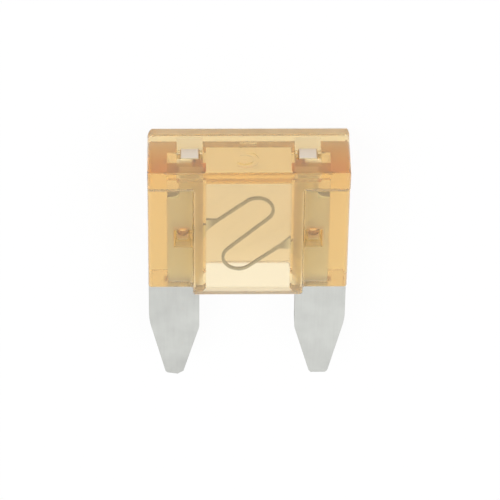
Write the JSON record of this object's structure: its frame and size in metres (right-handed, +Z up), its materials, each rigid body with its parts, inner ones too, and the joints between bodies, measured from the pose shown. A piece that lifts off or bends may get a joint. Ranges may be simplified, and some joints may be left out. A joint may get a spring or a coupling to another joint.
{
  "type": "automotive blade fuse",
  "caption": "Small plug-in blade fuse: a clear amber moulded housing over one stamped metal strip with flat tapered blades and an S-shaped fusing link.",
  "frame": {"origin": "on the surface that the fuse lies on, under the middle of its bounding box", "axes": "+X across the two blades, +Y along the fuse from the blade tips to the cap, +Z up through the thickness, front face up"},
  "size_m": [0.011, 0.0164, 0.0038],
  "materials": {
    "amber_plastic": "clear tinted, smooth",
    "tinned_metal": "dull tin plate"
  },
  "bodies": {
    "root": {"housing": "amber_plastic", "fuse_element": "tinned_metal"}
  },
  "joints": []
}
